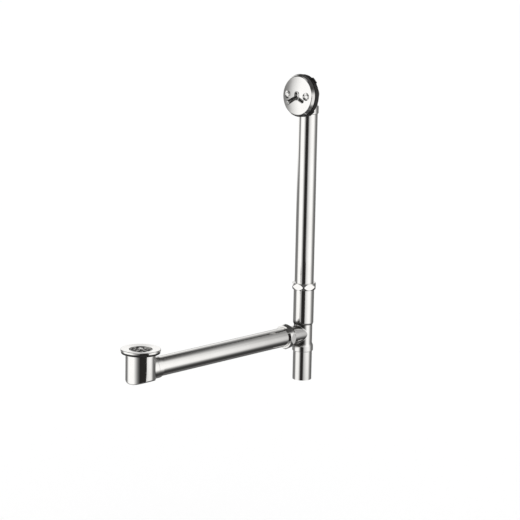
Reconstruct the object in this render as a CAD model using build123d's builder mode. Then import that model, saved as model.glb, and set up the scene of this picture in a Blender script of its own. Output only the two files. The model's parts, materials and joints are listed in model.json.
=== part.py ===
"""Bath waste and overflow with a trip lever, in 1-1/2 inch tube.

Millimetres. The origin is on the drain axis at the tub floor, +X runs from the drain to the
overflow tube, and +Z is up. The lever is modelled down, which holds the plunger off its seat.
"""

import os
from math import cos, radians, sin, sqrt, tan

from build123d import *

os.makedirs("parts", exist_ok=True)

# Layout
riser_offset = 444.5  # drain axis to the overflow tube's axis
overflow_height = 441.5  # tub floor to the middle of the overflow opening
waste_drop = 38.7  # tub floor to the waste tube's axis
tail_drop = 134.0  # tub floor to the lower end of the tailpiece
wall_tilt = 5.0  # backward lean of the tub wall, degrees

# Fits, all radial or per side
braze_gap = 0.1  # tube in a brazed socket
slip_gap = 0.3  # tube through a slip nut and its washer
thread_gap = 0.15  # screwed pieces, whose threads are left smooth
running_gap = 0.05  # lever on its pivot pin
loose_gap = 0.4  # pieces that pass each other freely

# Tube
tube_od = 38.1
tube_wall = 1.2
tube_radius = tube_od / 2
tube_bore = tube_radius - tube_wall
braze_radius = tube_radius + braze_gap  # bore of a brazed socket
socket_radius = tube_radius + slip_gap  # bore of a slip joint

# Slip nuts and washers
leg_wall = 1.15  # threaded ends that take the nuts
leg_radius = socket_radius + leg_wall
nut_rim = 2.7  # threaded end to the nut's flats
nut_flats = 2 * (leg_radius + nut_rim)
nut_height = 13.5
nut_lip = 2.5
nut_corner = 2.6  # past the flats, where the corners are turned down
nut_ridge = 1.5  # height of the turned corners
nut_face_margin = 0.3  # the end faces' circle, inside the flats
washer_thickness = 3.0
washer_bevel = 1.2
waste_nut_turn = 0.0  # degrees, a corner up
overflow_nut_turn = 41.0  # degrees, from +X to a corner

# Tee
tee_step = 1.9  # upper leg's surface to the body's
tee_radius = leg_radius - tee_step
tee_bore_step = 1.6  # tube's bore to the body's
tee_bore = tube_bore - tee_bore_step
tee_fillet = 1.0
branch_reach = 52.5  # riser axis to the branch's open end
branch_socket_depth = 9.0
branch_neck_step = 2.8  # threaded end to the neck behind it
branch_neck_radius = leg_radius - branch_neck_step
branch_neck_taper = 2.0
branch_bore_step = 2.0  # body's bore to the branch's
branch_bore = tee_bore - branch_bore_step
leg_top = 60.0  # above the tub floor
leg_taper = 4.5  # length of the upper leg's rounded-in lower end
leg_step = 0.6  # that end to the body's surface
leg_margin = 0.3  # upper leg's shoulder to the branch's fillet
leg_drop = waste_drop - branch_neck_radius - tee_fillet - leg_margin
leg_stop = 2.0  # where the overflow tube stops, below the tub floor
tail_step = 0.3  # tailpiece's upper end, turned down for the collar
tail_seam = 1.0  # turned-down length below the collar
tail_spigot_radius = tube_radius - tail_step
tail_socket_radius = tail_spigot_radius + braze_gap
collar_wall = 2.1
collar_radius = tail_socket_radius + collar_wall
collar_margin = 1.1  # branch's fillet to the lower collar
collar_drop = waste_drop + branch_neck_radius + tee_fillet + collar_margin
collar_length = 16.5
collar_edge = 5.5  # length of its tapered upper end
collar_chamfer = 1.0  # at its lower end
tail_socket_depth = 10.5
seat_step = 2.5  # body's bore to the seat's
seat_bore = tee_bore - seat_step
seat_height = 4.5
seat_chamfer = 1.5

# Drain flange and strainer
flange_radius = 37.6
flange_thickness = 4.0
flange_edge_round = 1.6
flange_dish = 1.2
neck_radius = 23.0
neck_length = 24.0
neck_wall = 2.2
neck_bore = neck_radius - neck_wall
strainer_ledge = 1.2  # width of the flange's ledge under the strainer
strainer_radius = neck_bore + strainer_ledge
strainer_seat = 0.6  # ledge above the tub floor
strainer_crown = 0.8
strainer_sheet = 1.2
strainer_gap = 0.3
strainer_hole = 3.4  # radius
hole_margin = 1.0  # outer holes to the neck's bore
hole_ring_step = 7.0
outer_hole_ring = neck_bore - hole_margin - strainer_hole
outer_hole_count = 10
inner_hole_ring = outer_hole_ring - hole_ring_step
inner_hole_count = 5
hole_stagger = 180 / outer_hole_count  # degrees, inner holes between outer ones
cross_width = 5.0
cross_height = 5.0
cross_drop = 12.0  # tub floor to the underside of the cross
cross_hub_radius = 5.0
strainer_screw_radius = 2.0
strainer_screw_head = 4.4
strainer_screw_head_height = 2.0
strainer_screw_head_round = 1.4
driver_slot = 1.2

# Drain shoe
shoe_side = 5.15  # wall round the flange's neck
shoe_radius = neck_radius + thread_gap + shoe_side
shoe_arch = 60.0  # radius of the underside, along the waste tube
shoe_edge_round = 3.0
shoe_lip = 0.7  # past the shoe's round body
shoe_lip_radius = shoe_radius + shoe_lip
shoe_lip_thickness = 4.0
shoe_wall = 4.0
outlet_wall = 2.05
outlet_radius = braze_radius + outlet_wall
outlet_length = 11.7  # past the trough
outlet_socket_depth = 12.0
outlet_edge = 0.8
trough_step = 0.6  # outlet collar's surface to the trough's
trough_radius = outlet_radius + trough_step
trough_overhang = 2.0  # past the shoe's round body
trough_edge = 1.2
shoe_sag = 0.4  # trough's underside to the shoe's
shoe_depth = waste_drop + trough_radius + shoe_sag  # tub floor to the shoe's underside
shoe_gasket_radius = 36.6
shoe_gasket_thickness = 4.0

# Overflow elbow, in the head's own frame
elbow_collar_wall = 1.6
elbow_collar_radius = braze_radius + elbow_collar_wall
elbow_collar_drop = 35.0  # overflow centre to the collar's lower end
elbow_collar_length = 16.0
elbow_collar_edge = 1.2
elbow_socket_depth = 10.5
elbow_neck_step = 2.35  # collar's surface to the neck's
elbow_neck_radius = elbow_collar_radius - elbow_neck_step
elbow_neck_drop = 14.0
elbow_bulb_step = 2.8  # neck's surface to the bulb's
elbow_bulb_radius = elbow_neck_radius + elbow_bulb_step
elbow_bulb_rise = 3.0
elbow_wall = 2.8
horn_step = 1.2  # bulb's surface to the horn's
horn_radius = elbow_bulb_radius - horn_step
horn_wall = 3.0
horn_bore = horn_radius - horn_wall
elbow_flange_radius = 33.0
elbow_flange_thickness = 4.0
elbow_flange_inset = 4.75  # behind the front of the collar
elbow_flange_front = elbow_collar_radius - elbow_flange_inset  # riser axis to the front face

# Overflow gasket
gasket_radius = 41.8
gasket_thickness = 10.0
gasket_opening = horn_radius
gasket_ear_length = 2.2  # past the ring
gasket_ear_width = 13.6
gasket_ear_thickness = 4.0
gasket_ear_angle = 49.0

# Face plate
plate_radius = 42.2  # rim's open edge
plate_face_radius = 38.0  # where the rim meets the domed face
plate_rim_depth = 7.0
plate_crown = 3.0
plate_edge_round = 2.5
plate_sheet = 1.2
plate_notch_width = 30.0
plate_notch_height = 5.6
screw_spacing = 50.8
dimple_radius = 8.0
dimple_depth = 2.5
boss_width = 14.0
boss_length = 19.0
boss_height = 1.2
boss_round = 0.8

# Face plate screws
screw_radius = 2.4
screw_head_radius = 4.8
screw_head_height = 2.4
screw_head_round = 1.9
screw_end = 2.0  # past the back of the elbow flange

# Trip lever
pivot_depth = 5.0  # behind the plate's front edge
lever_drop = 20.0  # lever below level at rest, degrees
lever_reach = 35.0
lever_root_radius = 3.9
lever_root_length = 12.0
lever_tip_radius = 4.6
lever_tip_round = 1.4
hub_radius = 4.2
hub_width = 9.4
drum_radius = 8.2  # round middle of the hub, which fills the plate's slot
drum_width = 7.0
arm_width = 8.4
arm_height = 6.0
arm_end_margin = 4.6  # past the furthest place of the linkage pin
fork_gap = 3.6
fork_depth = 8.0  # from the nearest place of the linkage pin
side_gap = 0.3

# Lever bracket, pivot pin and friction washer
bracket_sheet = 1.4
bracket_height = 24.0
bracket_flange = 5.0
ear_radius = 4.2
pivot_pin_radius = 1.5
pivot_pin_head_radius = 2.6
pivot_pin_head = 1.0
pivot_pin_tail = 1.2
friction_washer_radius = 3.8
friction_washer_thickness = 0.6

# Linkage and plunger
linkage_pin_radius = 1.1
linkage_pin_overhang = 2.0
linkage_loop_radius = 1.9
linkage_loop_wire = 0.7
eye_radius = 3.7
eye_thickness = 2.8
rod_radius = 1.5
rod_end = 4.0  # below the plunger's bridge
lock_nut_flats = 8.0
lock_nut_height = 3.2
plunger_gap = 0.5  # in the tee's bore
plunger_radius = tee_bore - plunger_gap
plunger_wall = 1.8
plunger_length = 42.0
plunger_edge = 1.0
bridge_width = 8.0
bridge_height = 5.0
seat_clearance = 0.3  # under the plunger when the lever is up

# Frames: z runs along each axis
drain_plane = Plane.XY
waste_plane = Plane((0, 0, -waste_drop), x_dir=(0, 0, 1), z_dir=(1, 0, 0))
riser_plane = Plane((riser_offset, 0, 0))
elbow_plane = riser_plane.offset(overflow_height)
wall_normal = Vector(-cos(radians(wall_tilt)), 0, sin(radians(wall_tilt)))
side_direction = Vector(0, -1, 0)
head_plane = Plane(elbow_plane.origin, x_dir=side_direction, z_dir=wall_normal)
wall_axis = Axis(head_plane.origin, wall_normal)

# Stations along the head's axis
gasket_front = elbow_flange_front + gasket_thickness
plate_front = gasket_front + plate_rim_depth
plate_top = plate_front + plate_crown
dome_radius = (plate_face_radius**2 + plate_crown**2) / (2 * plate_crown)
rim_flare = (plate_radius - plate_face_radius) / plate_rim_depth
pivot_out = plate_front - pivot_depth

# Lever geometry
pivot = elbow_plane.origin + wall_normal * pivot_out
lever_direction = Vector(-cos(radians(lever_drop)), 0, -sin(radians(lever_drop)))
lever_plane = Plane(pivot, x_dir=side_direction, z_dir=lever_direction)
swing_plane = Plane(pivot, x_dir=lever_direction, z_dir=side_direction)
ear_plane = Plane(pivot, x_dir=wall_normal, z_dir=side_direction)
rod_distance = pivot_out * cos(radians(wall_tilt))
pin_lift = rod_distance * tan(radians(lever_drop))
pin_near = rod_distance
pin_far = rod_distance / cos(radians(lever_drop))
plunger_travel = 2 * pin_lift
eye_centre = Vector(riser_offset, 0, pivot.Z + pin_lift)

# Heights in the tee
collar_top = -collar_drop
collar_bottom = collar_top - collar_length
seat_top = collar_bottom + tail_socket_depth + seat_height
plunger_bottom = seat_top + seat_clearance + plunger_travel
plunger_top = plunger_bottom + plunger_length


def section_of(plane):
    """Plane through another plane's z axis: x is the radius, and y runs along that axis."""
    return Plane(plane.origin, x_dir=plane.x_dir, z_dir=plane.x_dir.cross(plane.z_dir))


def axis_of(plane):
    """The z axis of a plane."""
    return Axis(plane.origin, plane.z_dir)


def dome_height(radius):
    """Outer face of the plate's dome at a distance from its middle."""
    return plate_top - dome_radius + sqrt(dome_radius**2 - radius**2)


def straight_tube(start, length):
    """Piece of the 1-1/2 inch tube that starts on a plane."""
    with BuildPart() as tube:
        with BuildSketch(start):
            Circle(tube_radius)
            Circle(tube_bore, mode=Mode.SUBTRACT)
        extrude(amount=length)
    return tube


def slip_nut(mouth, turn):
    """Hexagonal slip nut: the mouth is its threaded end, and its lip holds the washer."""
    corner_radius = nut_flats / 2 + nut_corner
    face_radius = nut_flats / 2 - nut_face_margin
    chamfer_rise = (nut_height - nut_ridge) / 2
    with BuildPart() as nut:
        with BuildSketch(mouth):
            RegularPolygon(nut_flats / 2, 6, major_radius=False, rotation=turn)
        extrude(amount=nut_height)
        with BuildSketch(section_of(mouth)):
            Polygon(
                (0, 0),
                (face_radius, 0),
                (corner_radius, chamfer_rise),
                (corner_radius, nut_height - chamfer_rise),
                (face_radius, nut_height),
                (0, nut_height),
                align=None,
            )
        revolve(axis=axis_of(mouth), mode=Mode.INTERSECT)
        with BuildSketch(mouth):
            Circle(leg_radius + thread_gap)
        extrude(amount=nut_height - nut_lip, mode=Mode.SUBTRACT)
        with BuildSketch(mouth):
            Circle(socket_radius)
        extrude(amount=nut_height, mode=Mode.SUBTRACT)
    return nut


def slip_washer(seat):
    """Rubber slip-joint washer that lies on a threaded end, with a beveled outer edge."""
    with BuildPart() as washer:
        with BuildSketch(section_of(seat)):
            Polygon(
                (socket_radius, 0),
                (leg_radius, 0),
                (leg_radius, washer_thickness - washer_bevel),
                (leg_radius - washer_bevel / 2, washer_thickness),
                (socket_radius, washer_thickness),
                align=None,
            )
        revolve(axis=axis_of(seat))
    return washer


# Drain flange: dished face, threaded neck and the cross that takes the strainer's screw
strainer_recess = strainer_radius + strainer_gap
with BuildPart() as drain_flange:
    with BuildSketch(section_of(drain_plane)) as flange_section:
        Polygon(
            (neck_bore, -neck_length),
            (neck_radius, -neck_length),
            (neck_radius, 0),
            (flange_radius, 0),
            (flange_radius, flange_thickness),
            (flange_radius - 2 * flange_edge_round, flange_thickness),
            (strainer_recess, flange_thickness - flange_dish),
            (strainer_recess, strainer_seat),
            (neck_bore, strainer_seat),
            align=None,
        )
        rim_corners = flange_section.vertices().group_by(Axis.X)[-1]
        fillet(rim_corners.sort_by(Axis.Y)[-1], flange_edge_round)
    revolve(axis=Axis.Z)
    with BuildSketch(drain_plane.offset(-cross_drop)):
        Circle(cross_hub_radius)
        Rectangle(2 * neck_bore + neck_wall, cross_width)
        Rectangle(cross_width, 2 * neck_bore + neck_wall)
        Circle(strainer_screw_radius + thread_gap, mode=Mode.SUBTRACT)
    extrude(amount=cross_height)
drain_flange.part.label = "drain_flange"
export_step(drain_flange.part, "parts/drain_flange.step")

# Strainer: pressed dome with two rings of holes, in the flange's recess
strainer_edge = strainer_seat + strainer_sheet
strainer_top = strainer_edge + strainer_crown
with BuildPart() as strainer:
    with BuildSketch(section_of(drain_plane)):
        with BuildLine():
            TangentArc((0, strainer_top), (strainer_radius, strainer_edge), tangent=(1, 0))
            Line((strainer_radius, strainer_edge), (strainer_radius, strainer_seat))
            TangentArc((0, strainer_top - strainer_sheet), (strainer_radius, strainer_seat), tangent=(1, 0))
            Line((0, strainer_top - strainer_sheet), (0, strainer_top))
        make_face()
    revolve(axis=Axis.Z)
    with BuildSketch(drain_plane):
        with PolarLocations(outer_hole_ring, outer_hole_count):
            Circle(strainer_hole)
        with PolarLocations(inner_hole_ring, inner_hole_count, start_angle=hole_stagger):
            Circle(strainer_hole)
        Circle(strainer_screw_radius + thread_gap)
    extrude(amount=strainer_top, mode=Mode.SUBTRACT)
strainer.part.label = "strainer"
export_step(strainer.part, "parts/strainer.step")

# Strainer screw: rounded slotted head on the dome, shank through the cross
with BuildPart() as strainer_screw:
    with BuildSketch(drain_plane.offset(-cross_drop)):
        Circle(strainer_screw_radius)
    extrude(amount=cross_drop + strainer_top)
    with BuildSketch(drain_plane.offset(strainer_top)):
        Circle(strainer_screw_head)
    extrude(amount=strainer_screw_head_height)
    fillet(strainer_screw.faces().sort_by(Axis.Z)[-1].edges(), strainer_screw_head_round)
    with BuildSketch(drain_plane.offset(strainer_top + strainer_screw_head_height)):
        Rectangle(2 * strainer_screw_head, driver_slot)
    extrude(amount=-driver_slot, mode=Mode.SUBTRACT)
strainer_screw.part.label = "strainer_screw"
export_step(strainer_screw.part, "parts/strainer_screw.step")

# Shoe gasket: rubber ring between the tub floor and the shoe
with BuildPart() as shoe_gasket:
    with BuildSketch(drain_plane):
        Circle(shoe_gasket_radius)
        Circle(neck_radius + loose_gap, mode=Mode.SUBTRACT)
    extrude(amount=-shoe_gasket_thickness)
shoe_gasket.part.label = "shoe_gasket"
export_step(shoe_gasket.part, "parts/shoe_gasket.step")

# Drain shoe: round body with an arched underside, a trough along the waste tube and the outlet collar
shoe_height = shoe_depth - shoe_gasket_thickness
trough_end = shoe_radius + trough_overhang
outlet_reach = trough_end + outlet_length
outlet_socket = outlet_reach - outlet_socket_depth
arch_plane = Plane((0, 0, shoe_arch - shoe_depth), x_dir=(0, 0, 1), z_dir=(1, 0, 0))
with BuildPart() as shoe_pocket:
    with BuildSketch(drain_plane.offset(-shoe_gasket_thickness)):
        Circle(neck_radius + thread_gap)
    extrude(amount=-shoe_height)
    with BuildSketch(arch_plane):
        Circle(shoe_arch - shoe_wall)
    extrude(amount=shoe_radius, both=True, mode=Mode.INTERSECT)

with BuildPart() as drain_shoe:
    with BuildSketch(drain_plane.offset(-shoe_depth)):
        Circle(shoe_radius)
    extrude(amount=shoe_height)
    with BuildSketch(arch_plane):
        Circle(shoe_arch)
    extrude(amount=shoe_radius, both=True, mode=Mode.INTERSECT)
    arch_edges = drain_shoe.edges().filter_by(GeomType.CIRCLE, reverse=True)
    fillet(arch_edges.filter_by(GeomType.LINE, reverse=True), shoe_edge_round)
    with BuildSketch(waste_plane):
        Circle(trough_radius)
    extrude(amount=trough_end)
    fillet(drain_shoe.faces().sort_by(Axis.X)[-1].edges(), trough_edge)
    with BuildSketch(waste_plane):
        Circle(outlet_radius)
    extrude(amount=outlet_reach)
    chamfer(drain_shoe.faces().sort_by(Axis.X)[-1].edges(), outlet_edge)
    with BuildSketch(drain_plane.offset(-shoe_gasket_thickness)):
        Circle(shoe_lip_radius)
    extrude(amount=-shoe_lip_thickness)
    add(shoe_pocket.part, mode=Mode.SUBTRACT)
    with BuildSketch(waste_plane):
        Circle(tube_bore)
    extrude(amount=outlet_reach, mode=Mode.SUBTRACT)
    with BuildSketch(waste_plane.offset(outlet_socket)):
        Circle(braze_radius)
    extrude(amount=outlet_socket_depth, mode=Mode.SUBTRACT)
drain_shoe.part.label = "drain_shoe"
export_step(drain_shoe.part, "parts/drain_shoe.step")

# Waste tube: brazed into the shoe, slipped into the tee's branch
branch_mouth = riser_offset - branch_reach
branch_stop = branch_mouth + branch_socket_depth
waste_tube = straight_tube(waste_plane.offset(outlet_socket), branch_stop - outlet_socket)
waste_tube.part.label = "waste_tube"
export_step(waste_tube.part, "parts/waste_tube.step")

# Waste slip nut and washer, at the branch's open end
branch_plane = Plane((branch_mouth, 0, -waste_drop), x_dir=(0, 0, 1), z_dir=(-1, 0, 0))
nut_cover = nut_height - nut_lip - washer_thickness
waste_slip_nut = slip_nut(branch_plane.offset(-nut_cover), waste_nut_turn)
waste_slip_nut.part.label = "waste_slip_nut"
export_step(waste_slip_nut.part, "parts/waste_slip_nut.step")

waste_slip_washer = slip_washer(branch_plane)
waste_slip_washer.part.label = "waste_slip_washer"
export_step(waste_slip_washer.part, "parts/waste_slip_washer.step")

# Waste tee: upper leg, body, side branch, lower collar, plunger bore and seat
with BuildPart() as waste_tee:
    with BuildSketch(section_of(riser_plane)):
        with BuildLine():
            Polyline(
                (tee_radius + leg_step, -leg_drop),
                (tee_radius, -leg_drop),
                (tee_radius, collar_top),
                (collar_radius, collar_top - collar_edge),
                (collar_radius, collar_bottom + collar_chamfer),
                (collar_radius - collar_chamfer, collar_bottom),
                (0, collar_bottom),
                (0, leg_top),
                (leg_radius, leg_top),
                (leg_radius, leg_taper - leg_drop),
            )
            TangentArc(
                (leg_radius, leg_taper - leg_drop), (tee_radius + leg_step, -leg_drop), tangent=(0, -1)
            )
        make_face()
    revolve(axis=axis_of(riser_plane))
    with BuildSketch(waste_plane.offset(riser_offset)):
        Circle(branch_neck_radius)
    extrude(amount=-(branch_reach - branch_socket_depth))
    fillet(waste_tee.edges(Select.NEW).filter_by(GeomType.CIRCLE, reverse=True), tee_fillet)
    with BuildSketch(section_of(branch_plane)):
        Polygon(
            (0, 0),
            (leg_radius, 0),
            (leg_radius, -branch_socket_depth),
            (branch_neck_radius, -branch_socket_depth - branch_neck_taper),
            (0, -branch_socket_depth - branch_neck_taper),
            align=None,
        )
    revolve(axis=axis_of(branch_plane))
    with BuildSketch(section_of(riser_plane)):
        Polygon(
            (0, leg_top),
            (socket_radius, leg_top),
            (socket_radius, -leg_stop),
            (tee_bore, -leg_stop),
            (tee_bore, seat_top),
            (seat_bore + seat_chamfer, seat_top),
            (seat_bore, seat_top - seat_chamfer),
            (seat_bore, seat_top - seat_height),
            (tail_socket_radius, seat_top - seat_height),
            (tail_socket_radius, collar_bottom),
            (0, collar_bottom),
            align=None,
        )
    revolve(axis=axis_of(riser_plane), mode=Mode.SUBTRACT)
    with BuildSketch(branch_plane):
        Circle(socket_radius)
    extrude(amount=-branch_socket_depth, mode=Mode.SUBTRACT)
    with BuildSketch(branch_plane):
        Circle(branch_bore)
    extrude(amount=-branch_reach, mode=Mode.SUBTRACT)
waste_tee.part.label = "waste_tee"
export_step(waste_tee.part, "parts/waste_tee.step")

# Tailpiece: outlet tube whose turned-down end is brazed into the lower collar
tail_top = collar_bottom + tail_socket_depth
tail_shoulder = collar_bottom - tail_seam
with BuildPart() as tailpiece:
    with BuildSketch(section_of(riser_plane)):
        Polygon(
            (tube_bore, -tail_drop),
            (tube_radius, -tail_drop),
            (tube_radius, tail_shoulder),
            (tail_spigot_radius, tail_shoulder),
            (tail_spigot_radius, tail_top),
            (tube_bore, tail_top),
            align=None,
        )
    revolve(axis=axis_of(riser_plane))
tailpiece.part.label = "tailpiece"
export_step(tailpiece.part, "parts/tailpiece.step")

# Overflow slip nut and washer, on the upper leg
leg_plane = riser_plane.offset(leg_top)
overflow_slip_nut = slip_nut(leg_plane.offset(-nut_cover), overflow_nut_turn)
overflow_slip_nut.part.label = "overflow_slip_nut"
export_step(overflow_slip_nut.part, "parts/overflow_slip_nut.step")

overflow_slip_washer = slip_washer(leg_plane)
overflow_slip_washer.part.label = "overflow_slip_washer"
export_step(overflow_slip_washer.part, "parts/overflow_slip_washer.step")

# Overflow tube: slipped into the upper leg, brazed into the elbow
riser_top = overflow_height - elbow_collar_drop + elbow_socket_depth
overflow_tube = straight_tube(riser_plane.offset(-leg_stop), riser_top + leg_stop)
overflow_tube.part.label = "overflow_tube"
export_step(overflow_tube.part, "parts/overflow_tube.step")

# Overflow elbow: collar, neck, bulb and the flange that faces the tub wall
elbow_neck_bore = elbow_neck_radius - elbow_wall
with BuildPart() as overflow_elbow:
    with BuildSketch(section_of(elbow_plane)):
        with BuildLine():
            Polyline(
                (0, elbow_bulb_rise + elbow_bulb_radius),
                (0, -elbow_collar_drop),
                (elbow_collar_radius - elbow_collar_edge, -elbow_collar_drop),
                (elbow_collar_radius, elbow_collar_edge - elbow_collar_drop),
                (elbow_collar_radius, elbow_collar_length - elbow_collar_edge - elbow_collar_drop),
                (elbow_collar_radius - elbow_collar_edge, elbow_collar_length - elbow_collar_drop),
                (elbow_neck_radius, elbow_collar_length - elbow_collar_drop),
                (elbow_neck_radius, -elbow_neck_drop),
                (elbow_bulb_radius, elbow_bulb_rise),
            )
            CenterArc((0, elbow_bulb_rise), elbow_bulb_radius, 0, 90)
        make_face()
    revolve(axis=axis_of(elbow_plane))
    with BuildSketch(head_plane):
        Circle(horn_radius)
    extrude(amount=elbow_flange_front)
    with BuildSketch(head_plane.offset(elbow_flange_front)):
        Circle(elbow_flange_radius)
    extrude(amount=-elbow_flange_thickness)
    with BuildSketch(section_of(elbow_plane)):
        with BuildLine():
            Polyline(
                (0, elbow_bulb_rise + elbow_bulb_radius - elbow_wall),
                (0, -elbow_collar_drop),
                (braze_radius, -elbow_collar_drop),
                (braze_radius, elbow_socket_depth - elbow_collar_drop),
                (elbow_neck_bore, elbow_socket_depth - elbow_collar_drop),
                (elbow_neck_bore, -elbow_neck_drop),
                (elbow_bulb_radius - elbow_wall, elbow_bulb_rise),
            )
            CenterArc((0, elbow_bulb_rise), elbow_bulb_radius - elbow_wall, 0, 90)
        make_face()
    revolve(axis=axis_of(elbow_plane), mode=Mode.SUBTRACT)
    with BuildSketch(head_plane):
        Circle(horn_bore)
    extrude(amount=elbow_flange_front, mode=Mode.SUBTRACT)
    with BuildSketch(head_plane.offset(elbow_flange_front)):
        Circle(gasket_opening)
    extrude(amount=elbow_bulb_radius, mode=Mode.SUBTRACT)
    with BuildSketch(head_plane.offset(elbow_flange_front)):
        with GridLocations(screw_spacing, 0, 2, 1):
            Circle(screw_radius + thread_gap)
    extrude(amount=-elbow_flange_thickness, mode=Mode.SUBTRACT)
overflow_elbow.part.label = "overflow_elbow"
export_step(overflow_elbow.part, "parts/overflow_elbow.step")

# Overflow gasket: ring with four ears, screw holes and a relief for the elbow collar
with BuildPart() as overflow_gasket:
    with BuildSketch(head_plane.offset(elbow_flange_front)):
        Circle(gasket_radius)
    extrude(amount=gasket_thickness)
    with BuildSketch(head_plane.offset(elbow_flange_front)):
        with PolarLocations(gasket_radius, 2, start_angle=gasket_ear_angle):
            Rectangle(2 * gasket_ear_length, gasket_ear_width)
        with PolarLocations(gasket_radius, 2, start_angle=-gasket_ear_angle):
            Rectangle(2 * gasket_ear_length, gasket_ear_width)
    extrude(amount=gasket_ear_thickness)
    with BuildSketch(head_plane.offset(elbow_flange_front)):
        Circle(gasket_opening)
        with GridLocations(screw_spacing, 0, 2, 1):
            Circle(screw_radius + loose_gap)
    extrude(amount=gasket_thickness, mode=Mode.SUBTRACT)
    with BuildSketch(riser_plane):
        Circle(elbow_collar_radius + loose_gap)
    extrude(amount=overflow_height, mode=Mode.SUBTRACT)
overflow_gasket.part.label = "overflow_gasket"
export_step(overflow_gasket.part, "parts/overflow_gasket.step")

# Face plate: domed sheet with a flared rim, two pressed dimples, the lever's boss and a water notch
dimple_ball = (dimple_radius**2 + dimple_depth**2) / (2 * dimple_depth)
dimple_centre = dome_height(screw_spacing / 2) - dimple_depth + dimple_ball
slot_reach = plate_top + boss_height - pivot_out
slot_low = slot_reach * tan(radians(lever_drop + wall_tilt))
slot_high = slot_reach * tan(radians(lever_drop - wall_tilt))
slot_end = lever_root_radius / cos(radians(lever_drop + wall_tilt)) + loose_gap
slot_length = slot_low + slot_high + 2 * slot_end
slot_middle = (slot_high - slot_low) / 2
slot_width = 2 * (lever_root_radius + loose_gap)
rim_sheet = plate_sheet * sqrt(1 + rim_flare**2)  # the rim's wall, across the head's axis
inner_edge = plate_face_radius + rim_flare * plate_sheet - rim_sheet
with BuildPart() as plate_cavity:
    with BuildSketch(section_of(head_plane)):
        with BuildLine():
            Polyline(
                (0, plate_top - plate_sheet),
                (0, gasket_front),
                (plate_radius - rim_sheet, gasket_front),
                (inner_edge, plate_front - plate_sheet),
            )
            TangentArc(
                (0, plate_top - plate_sheet), (inner_edge, plate_front - plate_sheet), tangent=(1, 0)
            )
        make_face()
    revolve(axis=axis_of(head_plane))
    with Locations(head_plane.offset(dimple_centre)):
        with GridLocations(screw_spacing, 0, 2, 1):
            Sphere(dimple_ball + plate_sheet, mode=Mode.SUBTRACT)

with BuildPart() as face_plate:
    with BuildSketch(section_of(head_plane)) as plate_section:
        with BuildLine():
            Polyline(
                (0, plate_top),
                (0, gasket_front),
                (plate_radius, gasket_front),
                (plate_face_radius, plate_front),
            )
            TangentArc((0, plate_top), (plate_face_radius, plate_front), tangent=(1, 0))
        make_face()
        rim_corners = plate_section.vertices().sort_by(Axis.X)
        fillet(rim_corners[-2], plate_edge_round)
    revolve(axis=axis_of(head_plane))
    with BuildSketch(head_plane.offset(plate_front)):
        with Locations((0, slot_middle)):
            SlotOverall(boss_length, boss_width, rotation=90)
    extrude(amount=plate_crown + boss_height)
    fillet(face_plate.faces().filter_by(wall_axis).sort_by(wall_axis)[-1].edges(), boss_round)
    add(plate_cavity.part, mode=Mode.SUBTRACT)
    with Locations(head_plane.offset(dimple_centre)):
        with GridLocations(screw_spacing, 0, 2, 1):
            Sphere(dimple_ball, mode=Mode.SUBTRACT)
    with BuildSketch(head_plane.offset(gasket_front)):
        with GridLocations(screw_spacing, 0, 2, 1):
            Circle(screw_radius + loose_gap)
        with Locations((0, slot_middle)):
            SlotOverall(slot_length, slot_width, rotation=90)
    extrude(amount=plate_rim_depth + plate_crown + boss_height, mode=Mode.SUBTRACT)
    with BuildSketch(head_plane.offset(gasket_front)):
        with Locations((0, -plate_radius)):
            Rectangle(plate_notch_width, plate_radius)
    extrude(amount=plate_notch_height, mode=Mode.SUBTRACT)
face_plate.part.label = "face_plate"
export_step(face_plate.part, "parts/face_plate.step")

# Face plate screws: rounded slotted heads in the dimples, shanks through the elbow flange
screw_back = elbow_flange_front - elbow_flange_thickness - screw_end
head_seat = dimple_centre - sqrt(dimple_ball**2 - screw_head_radius**2) + thread_gap
with BuildPart() as face_plate_screws:
    with BuildSketch(head_plane.offset(screw_back)):
        with GridLocations(screw_spacing, 0, 2, 1):
            Circle(screw_radius)
    extrude(amount=head_seat - screw_back)
    with BuildSketch(head_plane.offset(head_seat)):
        with GridLocations(screw_spacing, 0, 2, 1):
            Circle(screw_head_radius)
    extrude(amount=screw_head_height)
    head_faces = face_plate_screws.faces().filter_by(wall_axis).group_by(wall_axis)[-1]
    fillet(head_faces.edges(), screw_head_round)
    with BuildSketch(head_plane.offset(head_seat + screw_head_height)):
        with GridLocations(screw_spacing, 0, 2, 1):
            Rectangle(2 * screw_head_radius, driver_slot)
    extrude(amount=-driver_slot, mode=Mode.SUBTRACT)
face_plate_screws.part.label = "face_plate_screws"
export_step(face_plate_screws.part, "parts/face_plate_screws.step")

# Lever bracket: sheet soldered behind the plate, with two ears for the pivot pin
near_ear = hub_width / 2 + side_gap
far_ear = near_ear + friction_washer_thickness + side_gap
bracket_width = 2 * (far_ear + bracket_sheet + bracket_flange)
bracket_corner = sqrt((bracket_width / 2) ** 2 + (bracket_height / 2 - slot_middle) ** 2)
bracket_front = dome_height(bracket_corner) - plate_sheet - side_gap
with BuildPart() as lever_bracket:
    with BuildSketch(head_plane.offset(bracket_front)):
        with Locations((0, slot_middle)):
            Rectangle(bracket_width, bracket_height)
        Rectangle(slot_width, 2 * (drum_radius + loose_gap), mode=Mode.SUBTRACT)
    extrude(amount=-bracket_sheet)
    ear_height = bracket_front - pivot_out
    for inner_face, thickness in ((near_ear, bracket_sheet), (-far_ear, -bracket_sheet)):
        with BuildSketch(ear_plane.offset(inner_face)):
            Circle(ear_radius)
            Rectangle(ear_height, 2 * ear_radius, align=(Align.MIN, Align.CENTER))
            Circle(pivot_pin_radius + running_gap, mode=Mode.SUBTRACT)
        extrude(amount=thickness)
lever_bracket.part.label = "lever_bracket"
export_step(lever_bracket.part, "parts/lever_bracket.step")

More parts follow.
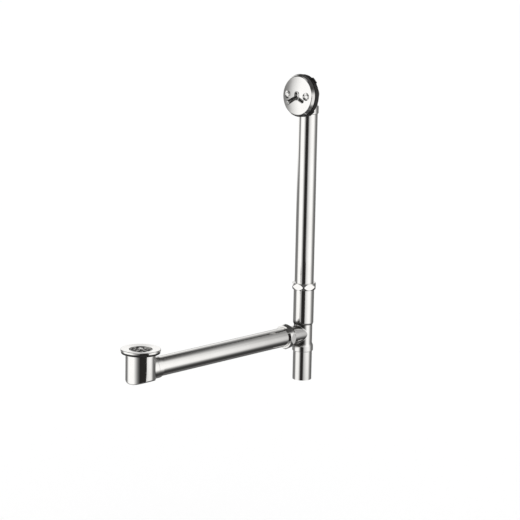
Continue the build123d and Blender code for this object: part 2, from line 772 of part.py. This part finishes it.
# Pivot pin: headed pin through both ears
pin_near_end = near_ear + bracket_sheet
pin_far_end = far_ear + bracket_sheet + pivot_pin_tail
with BuildPart() as lever_pivot_pin:
    with BuildSketch(ear_plane.offset(-pin_far_end)):
        Circle(pivot_pin_radius)
    extrude(amount=pin_far_end + pin_near_end)
    with BuildSketch(ear_plane.offset(pin_near_end)):
        Circle(pivot_pin_head_radius)
    extrude(amount=pivot_pin_head)
lever_pivot_pin.part.label = "lever_pivot_pin"
export_step(lever_pivot_pin.part, "parts/lever_pivot_pin.step")

# Friction washer: between the lever's hub and the far ear
with BuildPart() as lever_friction_washer:
    with BuildSketch(ear_plane.offset(-far_ear)):
        Circle(friction_washer_radius)
        Circle(pivot_pin_radius + running_gap, mode=Mode.SUBTRACT)
    extrude(amount=friction_washer_thickness)
lever_friction_washer.part.label = "lever_friction_washer"
export_step(lever_friction_washer.part, "parts/lever_friction_washer.step")

# Trip lever: tapered handle, hub with its drum, and a forked inner arm with slots for the linkage pin
arm_end = pin_far + arm_end_margin
fork_start = pin_near - fork_depth
pin_slot_middle = (pin_near + pin_far) / 2
with BuildPart() as trip_lever:
    with BuildSketch(section_of(lever_plane)) as handle_section:
        Polygon(
            (0, 0),
            (lever_root_radius, 0),
            (lever_root_radius, lever_root_length),
            (lever_tip_radius, lever_reach),
            (0, lever_reach),
            align=None,
        )
        tip_corners = handle_section.vertices().group_by(Axis.Y)[-1]
        fillet(tip_corners.sort_by(Axis.X)[-1], lever_tip_round)
    revolve(axis=axis_of(lever_plane))
    with BuildSketch(swing_plane):
        Circle(hub_radius)
    extrude(amount=hub_width / 2, both=True)
    with BuildSketch(swing_plane):
        Circle(drum_radius)
    extrude(amount=drum_width / 2, both=True)
    with BuildSketch(swing_plane):
        Rectangle(arm_end, arm_height, align=(Align.MAX, Align.CENTER))
    extrude(amount=arm_width / 2, both=True)
    with BuildSketch(swing_plane):
        with Locations((-fork_start, 0)):
            Rectangle(arm_end, arm_height, align=(Align.MAX, Align.CENTER))
    extrude(amount=fork_gap / 2, both=True, mode=Mode.SUBTRACT)
    with BuildSketch(swing_plane):
        Circle(pivot_pin_radius + running_gap)
        with Locations((-pin_slot_middle, 0)):
            SlotCenterToCenter(pin_far - pin_near + 2 * loose_gap, 2 * (linkage_pin_radius + loose_gap))
    extrude(amount=hub_width, both=True, mode=Mode.SUBTRACT)
trip_lever.part.label = "trip_lever"
export_step(trip_lever.part, "parts/trip_lever.step")

# Linkage pin: split pin with a loop, through the fork and the rod's eye
eye_plane = Plane(eye_centre, x_dir=(1, 0, 0), z_dir=side_direction)
pin_half = arm_width / 2 + linkage_pin_overhang
with BuildPart() as linkage_pin:
    with BuildSketch(eye_plane):
        Circle(linkage_pin_radius)
    extrude(amount=pin_half, both=True)
    with Locations(Plane(eye_centre, x_dir=side_direction, z_dir=(1, 0, 0))):
        with Locations((pin_half + linkage_loop_radius, 0)):
            Torus(linkage_loop_radius, linkage_loop_wire)
linkage_pin.part.label = "linkage_pin"
export_step(linkage_pin.part, "parts/linkage_pin.step")

# Connecting rod: flat eye at the top, straight rod and the end that screws into the plunger
bridge_bottom = plunger_top - bridge_height
rod_bottom = bridge_bottom - rod_end
with BuildPart() as connecting_rod:
    with BuildSketch(riser_plane.offset(rod_bottom)):
        Circle(rod_radius)
    extrude(amount=eye_centre.Z - rod_bottom)
    with BuildSketch(eye_plane):
        Circle(eye_radius)
    extrude(amount=eye_thickness / 2, both=True)
    with BuildSketch(eye_plane):
        Circle(linkage_pin_radius + running_gap)
    extrude(amount=eye_thickness, both=True, mode=Mode.SUBTRACT)
connecting_rod.part.label = "connecting_rod"
export_step(connecting_rod.part, "parts/connecting_rod.step")

# Lock nut: on the rod, against the plunger's bridge
with BuildPart() as lock_nut:
    with BuildSketch(riser_plane.offset(plunger_top)):
        RegularPolygon(lock_nut_flats / 2, 6, major_radius=False)
        Circle(rod_radius + running_gap, mode=Mode.SUBTRACT)
    extrude(amount=lock_nut_height)
lock_nut.part.label = "lock_nut"
export_step(lock_nut.part, "parts/lock_nut.step")

# Plunger: hollow weight with a chamfered lower edge and a bridge across its top
with BuildPart() as plunger:
    with BuildSketch(riser_plane.offset(plunger_bottom)):
        Circle(plunger_radius)
    extrude(amount=plunger_length)
    chamfer(plunger.edges().group_by(Axis.Z)[0], plunger_edge)
    with BuildSketch(riser_plane.offset(plunger_bottom)):
        Circle(plunger_radius - plunger_wall)
    extrude(amount=plunger_length, mode=Mode.SUBTRACT)
    with BuildSketch(riser_plane.offset(bridge_bottom)):
        Rectangle(2 * plunger_radius - plunger_wall, bridge_width)
        Circle(rod_radius + running_gap, mode=Mode.SUBTRACT)
    extrude(amount=bridge_height)
plunger.part.label = "plunger"
export_step(plunger.part, "parts/plunger.step")
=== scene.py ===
"""Looks of the bath waste and overflow: finishes, studio and camera."""

import json
from math import cos, radians, sin

import bpy
from mathutils import Matrix, Vector


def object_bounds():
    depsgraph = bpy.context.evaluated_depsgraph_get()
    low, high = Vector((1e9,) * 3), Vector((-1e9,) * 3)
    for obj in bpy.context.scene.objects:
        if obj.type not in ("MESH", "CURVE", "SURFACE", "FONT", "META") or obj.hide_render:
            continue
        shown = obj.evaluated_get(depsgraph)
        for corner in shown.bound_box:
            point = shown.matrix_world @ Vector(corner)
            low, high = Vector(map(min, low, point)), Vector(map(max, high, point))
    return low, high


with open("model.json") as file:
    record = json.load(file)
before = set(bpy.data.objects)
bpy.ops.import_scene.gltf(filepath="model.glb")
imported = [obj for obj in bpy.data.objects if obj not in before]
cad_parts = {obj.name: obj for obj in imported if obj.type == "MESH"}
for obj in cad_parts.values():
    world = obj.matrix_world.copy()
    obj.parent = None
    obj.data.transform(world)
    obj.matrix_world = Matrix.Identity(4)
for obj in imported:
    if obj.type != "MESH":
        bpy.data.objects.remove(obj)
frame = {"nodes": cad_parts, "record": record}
cad_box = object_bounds()
nodes = frame["nodes"]
scene = bpy.context.scene
MM = 0.001

# Camera fitted to the photograph
IMAGE_WIDTH = 520
FOCAL_PIXELS = 2100
CAMERA_AIM = Vector((200, 0, 200)) * MM
CAMERA_HEADING = radians(43.9)
CAMERA_PITCH = radians(12.0)
CAMERA_ROLL = radians(1.13)
CAMERA_DISTANCE = 4012 * MM
CAMERA_RIGHT = 79.1 * MM
CAMERA_UP = -54.1 * MM
SENSOR_WIDTH = 36.0

# Studio: a round tent that only reflections see, with five panels of light on it. Each panel has its glow
# along the heading (degrees, up to a turn past its first stop) and along the height over the tent's centre.
TENT_RADIUS = 1.2
TENT_CENTRE = Vector((0.22, 0, 0.2))
TENT_LOW, TENT_HIGH = -2.4, 1.6
TENT_COLUMNS, TENT_ROWS = 240, 80
TENT_LEAST = 0.045  # glow between the panels
LEFT_PANEL = (
    ((0, 0.16), (95, 0.22), (112, 0.2), (118, 0.33), (124, 0.7), (130, 0.93), (136, 1.1), (175, 1.1),
     (183, 0.8), (190, 0.52), (197, 0.3), (204, 0.14), (212, 0.06), (360, 0)),
    ((-2.4, 0.8), (-1.2, 0.82), (-0.7, 0.9), (-0.5, 1), (0.6, 1), (0.68, 0.4), (0.76, 0.1), (1.6, 0.05)),
)
RIGHT_PANEL = (
    ((180, 0), (228, 0.08), (236, 0.14), (242, 0.3), (250, 0.58), (262, 0.82), (276, 1.0), (286, 1.1),
     (304, 1.1), (312, 0.95), (318, 0.74), (325, 0.42), (332, 0.28), (342, 0.18), (355, 0.15), (540, 0)),
    ((-2.4, 0.05), (-1.5, 0.08), (-1.23, 0.12), (-0.96, 0.25), (-0.72, 0.6), (-0.6, 0.87), (-0.5, 0.96),
     (-0.4, 1), (0.4, 1), (0.55, 0.8), (0.8, 0.3), (1.15, 0.08), (1.6, 0.06)),
)
TOP_PANEL = (
    ((290, 0), (304, 1), (314, 0.96), (321, 0.74), (330, 0.46), (341, 0.31), (355, 0.22), (372, 0.18),
     (380, 0), (650, 0)),
    ((-2.4, 0), (0.1, 0), (0.35, 0.9), (0.5, 1), (0.9, 1), (1.2, 0.6), (1.6, 0.3)),
)
BACK_PANEL = (
    ((0, 0.1), (16, 0.45), (28, 0.75), (38, 0.88), (50, 1.02), (82, 1.02), (98, 0), (360, 0)),
    ((-2.4, 0), (-0.2, 0), (-0.06, 1), (0.3, 1), (0.57, 0.62), (0.8, 0.4), (0.92, 0.25), (1.05, 0.06),
     (1.6, 0)),
)
FRONT_PANEL = (
    ((170, 0), (188, 0.6), (250, 0.6), (266, 0), (530, 0)),
    ((-2.4, 0.5), (-1.3, 0.5), (-0.9, 0), (0.1, 0), (0.25, 1), (0.55, 1), (0.75, 0.2), (1.6, 0)),
)
CEILING_CENTRE = Vector((-0.1, 0.3, 1.8))
CEILING_RADIUS = 0.42
CEILING_CORNERS = 48
CEILING_GLOW = 1.0
LAMP_COLOUR = (1, 0.995, 0.985)
WORLD_WHITE = 1.06  # to the eye and to matte surfaces
WORLD_MIRRORED = 0.07  # in reflections past the tent

# Dark cards that only reflections see. Two stand between the drain and the camera: how far aside to the
# camera's right, how far before the drain, half the width, and the heights of the lower and upper edge.
FLAG_COLOUR = (1, 0.96, 0.92)
FLAG_GLOW = 0.022
CAMERA_FLAGS = (
    {"name": "front_flag", "aside": 0.185, "before": 0.4, "half": 0.21, "low": -0.45, "high": 0.36},
    {"name": "drain_flag", "aside": 0.23, "before": 0.401, "half": 0.255, "low": -0.2, "high": -0.04},
)
PLATE_FOOT = Vector((0.405, 0, 0))  # under the face plate, level with the tub's floor
PLATE_FLAG_HEADING = radians(239)
PLATE_FLAG_DISTANCE = 0.3
PLATE_FLAG_HALF = 0.069
PLATE_FLAG_LOW, PLATE_FLAG_HIGH = 0.4, 0.47

# Floor
FLOOR_DROP = 0.35  # below the tailpiece
FLOOR_SIZE = 30.0
FLOOR_COLOUR = (0.95, 0.95, 0.95, 1)

# Finishes, and the colours of painted shade and painted highlights
NOISE_RANGE = 0.3, 0.7  # values that a noise mostly takes
POLISH = 0.05, 0.1  # roughness of the chrome
BRIGHT = (0.88, 0.872, 0.858), (0.92, 0.914, 0.902)  # colours of the chrome
SHADED_LEVER_COLOURS = (0.22, 0.217, 0.212), (0.34, 0.335, 0.328)  # the lever's chrome colours, darkened: painted shade for the dark reflections on the lever
SHADED = (0.012, 0.0115, 0.0105, 1)  # in the drain's bore and at the back of the plate's rim
SHADED_ROUGHNESS = 0.7
CREVICE_SHADE = (0.09, 0.088, 0.084, 1)  # painted shade in the corners round the tee's branch
CREVICE_SHADE_ROUGHNESS = 0.4
TIP_HIGHLIGHT = (0.93, 0.925, 0.915, 1)  # painted highlight at the lever's end
TIP_HIGHLIGHT_ROUGHNESS = 0.15
BRANCH_ROUGHNESS = 0.05  # added to the chrome's own

# Places of the finishes and of the painted shade and highlights. Each pair says where a mask is none and
# where it is full.
WALL_TILT = radians(5)
WALL_NORMAL = Vector((-cos(WALL_TILT), 0, sin(WALL_TILT)))
LEVER_DROP = radians(20)
LEVER_DIRECTION = Vector((-cos(LEVER_DROP), 0, -sin(LEVER_DROP)))
RISER_X = 444.5 * MM  # the riser's axis
BRANCH_Z = -38.7 * MM  # the branch's axis
BORE_SIDE = 23.5 * MM, 23.3 * MM  # from the drain's axis
BORE_TOP = 0.6 * MM, 0.3 * MM
BORE_FOOT = -52 * MM, -48 * MM
ROOT_OUTSIDE = 29 * MM, 24 * MM  # from the branch's axis
ROOT_INSIDE = 18.2 * MM, 19 * MM
ROOT_LEFT = RISER_X - 7 * MM, RISER_X - 12 * MM
BRANCH_LEFT = RISER_X - 13 * MM, RISER_X - 16 * MM
BRANCH_TOP = BRANCH_Z + 18.6 * MM, BRANCH_Z + 17.8 * MM
BRANCH_FOOT = BRANCH_Z - 18.6 * MM, BRANCH_Z - 17.8 * MM
RIM_BACK = 1.5 * MM, 1.0 * MM  # from the rim's back edge
LEVER_END = 0.8 * MM, 0.3 * MM  # from the lever's tip


def link(obj):
    """Put a new object in the scene."""
    scene.collection.objects.link(obj)
    return obj


def along(stops, place):
    """Value at a place, on straight lines between (place, value) stops."""
    for (a, low), (b, high) in zip(stops, stops[1:]):
        if a <= place <= b:
            return low + (high - low) * (place - a) / (b - a)
    return stops[-1][1]


def camera_axes():
    """Right, up and forward directions of the fitted camera."""
    forward = Vector((
        cos(CAMERA_HEADING) * cos(CAMERA_PITCH),
        sin(CAMERA_HEADING) * cos(CAMERA_PITCH),
        -sin(CAMERA_PITCH),
    ))
    level_right = Vector((sin(CAMERA_HEADING), -cos(CAMERA_HEADING), 0))
    level_up = level_right.cross(forward)
    right = level_right * cos(CAMERA_ROLL) + level_up * sin(CAMERA_ROLL)
    up = level_up * cos(CAMERA_ROLL) - level_right * sin(CAMERA_ROLL)
    return right, up, forward


def add_camera():
    """The photograph's camera."""
    right, up, forward = camera_axes()
    data = bpy.data.cameras.new("photo_camera")
    data.sensor_width = SENSOR_WIDTH
    data.sensor_fit = "HORIZONTAL"
    data.lens = FOCAL_PIXELS * SENSOR_WIDTH / IMAGE_WIDTH
    camera = link(bpy.data.objects.new("photo_camera", data))
    place = CAMERA_AIM - forward * CAMERA_DISTANCE + right * CAMERA_RIGHT + up * CAMERA_UP
    turn = Matrix((right, up, -forward)).transposed().to_4x4()
    camera.matrix_world = Matrix.Translation(place) @ turn
    scene.camera = camera


def new_material(name):
    """Node material with its tree and its shader."""
    material = bpy.data.materials.new(name)
    material.use_nodes = True
    return material, material.node_tree, material.node_tree.nodes["Principled BSDF"]


def add_node(tree, kind, **inputs):
    """Node of a kind, with some of its inputs set; an underscore in a name stands for a space."""
    node = tree.nodes.new("ShaderNode" + kind)
    for name, value in inputs.items():
        node.inputs[name.replace("_", " ")].default_value = value
    return node


def object_noise(tree, scale, detail, stretch=(1, 1, 1)):
    """Noise fixed to the object, stretched along its axes."""
    spread = add_node(tree, "Mapping", Scale=stretch)
    noise = add_node(tree, "TexNoise", Scale=scale, Detail=detail)
    tree.links.new(object_place(tree), spread.inputs["Vector"])
    tree.links.new(spread.outputs["Vector"], noise.inputs["Vector"])
    return noise


def vary(tree, noise, shader, socket, low, high):
    """Let a noise move one of the shader's values between two limits."""
    first, last = NOISE_RANGE
    limits = add_node(tree, "MapRange", From_Min=first, From_Max=last, To_Min=low, To_Max=high)
    tree.links.new(noise.outputs["Fac"], limits.inputs["Value"])
    tree.links.new(limits.outputs["Result"], shader.inputs[socket])


def tint(tree, noise, shader, low, high):
    """Let a noise move the shader's colour between two colours."""
    colours = add_node(tree, "ValToRGB")
    for stop, place, colour in zip(colours.color_ramp.elements, NOISE_RANGE, (low, high)):
        stop.position = place
        stop.color = (*colour, 1)
    tree.links.new(noise.outputs["Fac"], colours.inputs["Fac"])
    tree.links.new(colours.outputs["Color"], shader.inputs["Base Color"])


def axis_value(tree, vector, axis):
    """One of a vector's three values."""
    split = add_node(tree, "SeparateXYZ")
    tree.links.new(vector, split.inputs["Vector"])
    return split.outputs[axis]


def ramp(tree, value, none, full):
    """Mask that grows from zero to one between two values."""
    limits = add_node(tree, "MapRange", From_Min=none, From_Max=full)
    tree.links.new(value, limits.inputs["Value"])
    return limits.outputs["Result"]


def combine(tree, operation, first, second):
    """Two values taken together by one operation."""
    node = add_node(tree, "Math")
    node.operation = operation
    tree.links.new(first, node.inputs[0])
    tree.links.new(second, node.inputs[1])
    return node.outputs["Value"]


def least(tree, first, *others):
    """Least of some masks."""
    for other in others:
        first = combine(tree, "MINIMUM", first, other)
    return first


def object_place(tree):
    """Each point's place in the object's own frame."""
    return add_node(tree, "TexCoord").outputs["Object"]


def radius(tree, place, axes):
    """How far each point lies from the middle, along the axes that are one and not zero."""
    flat = add_node(tree, "VectorMath")
    flat.operation = "MULTIPLY"
    flat.inputs[1].default_value = axes
    length = add_node(tree, "VectorMath")
    length.operation = "LENGTH"
    tree.links.new(place, flat.inputs[0])
    tree.links.new(flat.outputs["Vector"], length.inputs[0])
    return length.outputs["Value"]


def roughen(tree, noise, shader, strength, depth):
    """Bump a shader with a noise."""
    bump = add_node(tree, "Bump", Strength=strength, Distance=depth)
    tree.links.new(noise.outputs["Fac"], bump.inputs["Height"])
    tree.links.new(bump.outputs["Normal"], shader.inputs["Normal"])


def chrome_material(name, colours=BRIGHT):
    """Chrome plate on brass: haze that comes and goes, over the faint ripple of the metal under it."""
    material, tree, shader = new_material(name)
    shader.inputs["Metallic"].default_value = 1.0
    tint(tree, object_noise(tree, scale=25.0, detail=4.0), shader, *colours)
    vary(tree, object_noise(tree, scale=90.0, detail=8.0), shader, "Roughness", *POLISH)
    roughen(tree, object_noise(tree, scale=45.0, detail=3.0), shader, strength=0.012, depth=MM)
    return material


def strainer_material():
    """Strainer painted dark in random patches: painted shade of the drain's recess, flecked with bright
    painted glints.
    """
    material, tree, shader = new_material("strainer_shade_and_glints")
    shader.inputs["Metallic"].default_value = 1.0
    blotches = object_noise(tree, scale=170.0, detail=5.0)
    tint(tree, blotches, shader, low=(0.022, 0.021, 0.02), high=(0.5, 0.49, 0.475))
    vary(tree, object_noise(tree, scale=240.0, detail=6.0), shader, "Roughness", low=0.22, high=0.5)
    roughen(tree, object_noise(tree, scale=300.0, detail=3.0), shader, strength=0.1, depth=0.3 * MM)
    return material


def painted_bore_shade(tree):
    """Mask: painted shade in the drain's bore under the strainer."""
    place = object_place(tree)
    within = ramp(tree, radius(tree, place, (1, 1, 0)), *BORE_SIDE)
    height = axis_value(tree, place, "Z")
    under = ramp(tree, height, *BORE_TOP)
    over = ramp(tree, height, *BORE_FOOT)
    return least(tree, within, under, over)


def tee_crevice_shade(tree):
    """Mask: painted shade in the corners round the branch's root."""
    place = object_place(tree)
    offset = add_node(tree, "VectorMath")
    offset.operation = "SUBTRACT"
    offset.inputs[1].default_value = (0, 0, BRANCH_Z)
    tree.links.new(place, offset.inputs[0])
    distance = radius(tree, offset.outputs["Vector"], (0, 1, 1))
    near = ramp(tree, distance, *ROOT_OUTSIDE)
    clear = ramp(tree, distance, *ROOT_INSIDE)
    left = ramp(tree, axis_value(tree, place, "X"), *ROOT_LEFT)
    return least(tree, near, clear, left)


def farthest(node, direction):
    """How far a CAD node reaches along a direction."""
    return max(corner.co.dot(direction) for corner in nodes[node].data.vertices)


def reach(tree, direction):
    """How far each point lies along a direction."""
    distance = add_node(tree, "VectorMath")
    distance.operation = "DOT_PRODUCT"
    distance.inputs[1].default_value = direction
    tree.links.new(object_place(tree), distance.inputs[0])
    return distance.outputs["Value"]


def end_mask(tree, node, direction, none, full):
    """Mask: a node's end along a direction, from two distances short of it."""
    end = farthest(node, direction)
    return ramp(tree, reach(tree, direction), end - none, end - full)


def plate_rim_shade(tree):
    """Mask: painted shade on the back edge of the face plate's rim, against the gasket."""
    return end_mask(tree, "face_plate", -WALL_NORMAL, *RIM_BACK)


def lever_tip_highlight(tree):
    """Mask: a painted highlight on the lever's end."""
    return end_mask(tree, "trip_lever", LEVER_DIRECTION, *LEVER_END)


def overlay(material, mask, colour, roughness):
    """Give part of a surface another colour and roughness."""
    tree = material.node_tree
    shader = tree.nodes["Principled BSDF"]
    share = mask(tree)
    for socket, value in (("Base Color", colour), ("Roughness", roughness)):
        mix = tree.nodes.new("ShaderNodeMix")
        mix.data_type = "RGBA" if socket == "Base Color" else "FLOAT"
        kind = {"RGBA": "RGBA", "FLOAT": "VALUE"}[mix.data_type]
        a, b = (i for i in mix.inputs if i.type == kind and i.name in "AB")
        result = next(o for o in mix.outputs if o.type == kind)
        b.default_value = value
        tree.links.new(share, mix.inputs["Factor"])
        tree.links.new(shader.inputs[socket].links[0].from_socket, a)
        tree.links.new(result, shader.inputs[socket])
    return material


def tee_chrome():
    """Chrome of the tee: bright on its turned surfaces, satin on the cast branch."""
    material = chrome_material("tee_chrome")
    tree = material.node_tree
    shader = tree.nodes["Principled BSDF"]
    place = object_place(tree)
    left = ramp(tree, axis_value(tree, place, "X"), *BRANCH_LEFT)
    height = axis_value(tree, place, "Z")
    under = ramp(tree, height, *BRANCH_TOP)
    over = ramp(tree, height, *BRANCH_FOOT)
    extra = add_node(tree, "MapRange", To_Min=0.0, To_Max=BRANCH_ROUGHNESS)
    tree.links.new(least(tree, left, under, over), extra.inputs["Value"])
    polish = shader.inputs["Roughness"].links[0].from_socket
    total = combine(tree, "ADD", polish, extra.outputs["Result"])
    tree.links.new(total, shader.inputs["Roughness"])
    return material


def rubber_material():
    """Matte moulded rubber with a fine grain."""
    material, tree, shader = new_material("black_rubber")
    bloom = object_noise(tree, scale=60.0, detail=5.0)
    tint(tree, bloom, shader, low=(0.0095, 0.009, 0.0085), high=(0.018, 0.017, 0.016))
    vary(tree, object_noise(tree, scale=160.0, detail=4.0), shader, "Roughness", low=0.5, high=0.72)
    roughen(tree, object_noise(tree, scale=1800.0, detail=2.0), shader, strength=0.25, depth=0.2 * MM)
    return material


def brass_material():
    """Unplated brass with the fine rings that turning leaves."""
    material, tree, shader = new_material("raw_brass")
    shader.inputs["Metallic"].default_value = 1.0
    tarnish = object_noise(tree, scale=70.0, detail=6.0)
    tint(tree, tarnish, shader, low=(0.5, 0.33, 0.14), high=(0.76, 0.55, 0.26))
    vary(tree, object_noise(tree, scale=120.0, detail=6.0), shader, "Roughness", low=0.22, high=0.38)
    rings = object_noise(tree, scale=60.0, detail=2.0, stretch=(1, 1, 60))
    roughen(tree, rings, shader, strength=0.12, depth=0.1 * MM)
    return material


def steel_material():
    """Plain steel sheet, brushed along the wall."""
    material, tree, shader = new_material("spring_steel")
    shader.inputs["Metallic"].default_value = 1.0
    cloud = object_noise(tree, scale=80.0, detail=6.0)
    tint(tree, cloud, shader, low=(0.38, 0.378, 0.37), high=(0.56, 0.558, 0.55))
    vary(tree, object_noise(tree, scale=140.0, detail=6.0), shader, "Roughness", low=0.28, high=0.42)
    brushing = object_noise(tree, scale=80.0, detail=2.0, stretch=(40, 1, 1))
    roughen(tree, brushing, shader, strength=0.12, depth=0.1 * MM)
    return material


def glow_material(name, colour, strength):
    """Plain glowing surface for the studio."""
    material = bpy.data.materials.new(name)
    material.use_nodes = True
    tree = material.node_tree
    tree.nodes.clear()
    glow = add_node(tree, "Emission", Color=(*colour, 1), Strength=strength)
    output = add_node(tree, "OutputMaterial")
    tree.links.new(glow.outputs["Emission"], output.inputs["Surface"])
    return material


def mirror_only(obj):
    """Stage piece that shows only in reflections."""
    obj.visible_camera = False
    obj.visible_diffuse = False
    obj.visible_shadow = False
    obj.visible_transmission = False


def tent_glow(heading, rise):
    """Brightness of the tent at a heading in degrees and a height over its centre."""
    glow = TENT_LEAST
    for around, upward in (LEFT_PANEL, RIGHT_PANEL, TOP_PANEL, BACK_PANEL, FRONT_PANEL):
        first = around[0][0]
        glow = max(glow, along(around, first + (heading - first) % 360) * along(upward, rise))
    return glow


def add_tent():
    """Round tent with its glow stored at its points, open at the top and bottom."""
    points, glows, faces = [], [], []
    for i in range(TENT_COLUMNS):
        heading = 360 * i / TENT_COLUMNS
        across = Vector((cos(radians(heading)), sin(radians(heading)), 0)) * TENT_RADIUS
        for j in range(TENT_ROWS + 1):
            rise = TENT_LOW + (TENT_HIGH - TENT_LOW) * j / TENT_ROWS
            points.append(TENT_CENTRE + across + Vector((0, 0, rise)))
            glows.append(tent_glow(heading, rise))
    for i in range(TENT_COLUMNS):
        a = i * (TENT_ROWS + 1)
        b = (i + 1) % TENT_COLUMNS * (TENT_ROWS + 1)
        faces.extend((a + j, b + j, b + j + 1, a + j + 1) for j in range(TENT_ROWS))
    mesh = bpy.data.meshes.new("tent")
    mesh.from_pydata(points, [], faces)
    layer = mesh.attributes.new("glow", "FLOAT", "POINT")
    for value, glow in zip(layer.data, glows):
        value.value = glow
    tent = link(bpy.data.objects.new("tent", mesh))
    material = glow_material("tent", LAMP_COLOUR, 1.0)
    tree = material.node_tree
    stored = add_node(tree, "Attribute")
    stored.attribute_name = "glow"
    tree.links.new(stored.outputs["Fac"], tree.nodes["Emission"].inputs["Strength"])
    tent.data.materials.append(material)
    mirror_only(tent)


def add_ceiling():
    """Round soft light over the object."""
    corners = []
    for i in range(CEILING_CORNERS):
        turn = radians(360 * i / CEILING_CORNERS)
        corners.append(CEILING_CENTRE + Vector((cos(turn), sin(turn), 0)) * CEILING_RADIUS)
    mesh = bpy.data.meshes.new("ceiling")
    mesh.from_pydata(corners, [], [list(range(CEILING_CORNERS))])
    ceiling = link(bpy.data.objects.new("ceiling", mesh))
    ceiling.data.materials.append(glow_material("ceiling", LAMP_COLOUR, CEILING_GLOW))
    mirror_only(ceiling)


def add_flag(name, middle, side, half, low, high):
    """Dark upright card, seen only in reflections."""
    corners = []
    for s, z in ((-half, low), (half, low), (half, high), (-half, high)):
        corners.append(middle + side * s + Vector((0, 0, z)))
    mesh = bpy.data.meshes.new(name)
    mesh.from_pydata(corners, [], [(0, 1, 2, 3)])
    flag = link(bpy.data.objects.new(name, mesh))
    flag.data.materials.append(glow_material(name, FLAG_COLOUR, FLAG_GLOW))
    mirror_only(flag)


def add_flags():
    """Dark cards between the drain and the camera, and one in front of the face plate."""
    right, _, forward = camera_axes()
    ahead = Vector((forward.x, forward.y, 0)).normalized()
    side = Vector((right.x, right.y, 0)).normalized()
    for flag in CAMERA_FLAGS:
        middle = side * flag["aside"] - ahead * flag["before"]
        add_flag(flag["name"], middle, side, flag["half"], flag["low"], flag["high"])
    toward = Vector((cos(PLATE_FLAG_HEADING), sin(PLATE_FLAG_HEADING), 0))
    across = Vector((-toward.y, toward.x, 0))
    middle = PLATE_FOOT + toward * PLATE_FLAG_DISTANCE
    add_flag("plate_flag", middle, across, PLATE_FLAG_HALF, PLATE_FLAG_LOW, PLATE_FLAG_HIGH)


def add_floor():
    """Plain pale floor, under the object."""
    mesh = bpy.data.meshes.new("floor")
    half = FLOOR_SIZE / 2
    level = cad_box[0][2] - FLOOR_DROP
    mesh.from_pydata(
        [(-half, -half, level), (half, -half, level), (half, half, level), (-half, half, level)],
        [],
        [(0, 1, 2, 3)],
    )
    floor = link(bpy.data.objects.new("floor", mesh))
    material, _, shader = new_material("pale_floor")
    shader.inputs["Base Color"].default_value = FLOOR_COLOUR
    shader.inputs["Roughness"].default_value = 1.0
    shader.inputs["Specular IOR Level"].default_value = 0.0
    floor.data.materials.append(material)
    floor.visible_glossy = False


def set_world():
    """White world, but dark in reflections past the tent."""
    world = bpy.data.worlds.new("studio")
    scene.world = world
    world.use_nodes = True
    tree = world.node_tree
    tree.nodes.clear()
    path = add_node(tree, "LightPath")
    white = add_node(tree, "Background", Color=(1, 1, 1, 1), Strength=WORLD_WHITE)
    room = add_node(tree, "Background", Color=(1, 1, 1, 1), Strength=WORLD_MIRRORED)
    mix = add_node(tree, "MixShader")
    output = add_node(tree, "OutputWorld")
    tree.links.new(path.outputs["Is Glossy Ray"], mix.inputs["Fac"])
    tree.links.new(white.outputs["Background"], mix.inputs[1])
    tree.links.new(room.outputs["Background"], mix.inputs[2])
    tree.links.new(mix.outputs["Shader"], output.inputs["Surface"])


materials = {
    "polished_chrome": chrome_material("polished_chrome"),
    "black_rubber": rubber_material(),
    "raw_brass": brass_material(),
    "spring_steel": steel_material(),
}
for part in frame["record"]["subparts"]:
    mesh = nodes[part["node"]].data
    mesh.materials.clear()
    mesh.materials.append(materials[part["material_slot"]])

finishes = {
    # strainer: painted shade with painted glints
    "strainer": strainer_material(),
    # flange and shoe: painted shade in the drain's bore
    "drain_flange": overlay(chrome_material("flange_chrome"), painted_bore_shade, SHADED, SHADED_ROUGHNESS),
    "drain_shoe": overlay(chrome_material("shoe_chrome"), painted_bore_shade, SHADED, SHADED_ROUGHNESS),
    # face plate: painted shade on the back edge of its rim
    "face_plate": overlay(chrome_material("plate_chrome"), plate_rim_shade, SHADED, SHADED_ROUGHNESS),
    # lever: chrome painted darker as shade, with a painted highlight at its end
    "trip_lever": overlay(chrome_material("lever_chrome", SHADED_LEVER_COLOURS), lever_tip_highlight, TIP_HIGHLIGHT, TIP_HIGHLIGHT_ROUGHNESS),
    # tee: painted shade in the corners round its branch
    "waste_tee": overlay(tee_chrome(), tee_crevice_shade, CREVICE_SHADE, CREVICE_SHADE_ROUGHNESS),
}
for name, finish in finishes.items():
    nodes[name].data.materials[0] = finish

add_tent()
add_ceiling()
add_flags()
add_floor()
set_world()
add_camera()
scene.view_settings.view_transform = "Standard"
